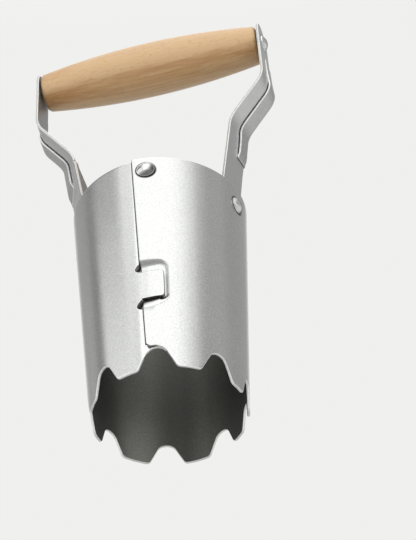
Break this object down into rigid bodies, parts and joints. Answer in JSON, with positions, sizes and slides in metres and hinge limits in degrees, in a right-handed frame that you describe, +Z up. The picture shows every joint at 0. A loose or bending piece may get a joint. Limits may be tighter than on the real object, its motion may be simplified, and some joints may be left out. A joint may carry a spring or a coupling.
{
  "type": "hand bulb planter",
  "caption": "Hand bulb planter: a tapered sheet-metal tube with a toothed foot, carried by two bent straps with a turning barrel-shaped wooden grip between them.",
  "frame": {"origin": "on the tooth tips' plane at the foot of the tube, on the tube's axis", "axes": "+Z up along the tube to the grip, -Y the side of the seam, X along the grip"},
  "size_m": [0.115, 0.0784, 0.2218],
  "materials": {
    "sheet": "zinc-plated steel sheet, satin with a fine speckle, dull and dark on the inside of the tube",
    "strap": "zinc-plated steel strip, satin, with bright cut edges",
    "rivet": "plated steel, polished",
    "wood": "turned beech, fine sanded, clear oiled"
  },
  "bodies": {
    "body": {"tube": "sheet", "seam_rivet": "rivet", "left_strap": "strap", "right_strap": "strap", "left_rivet": "rivet", "right_rivet": "rivet", "grip_rod": "rivet"},
    "grip": {"grip": "wood"}
  },
  "joints": [
    {"name": "grip_turn", "type": "hinge", "parent": "body", "child": "grip", "pos_m": [0, -0.0038, 0.2089], "axis": [1, 0, 0], "continuous": true}
  ]
}
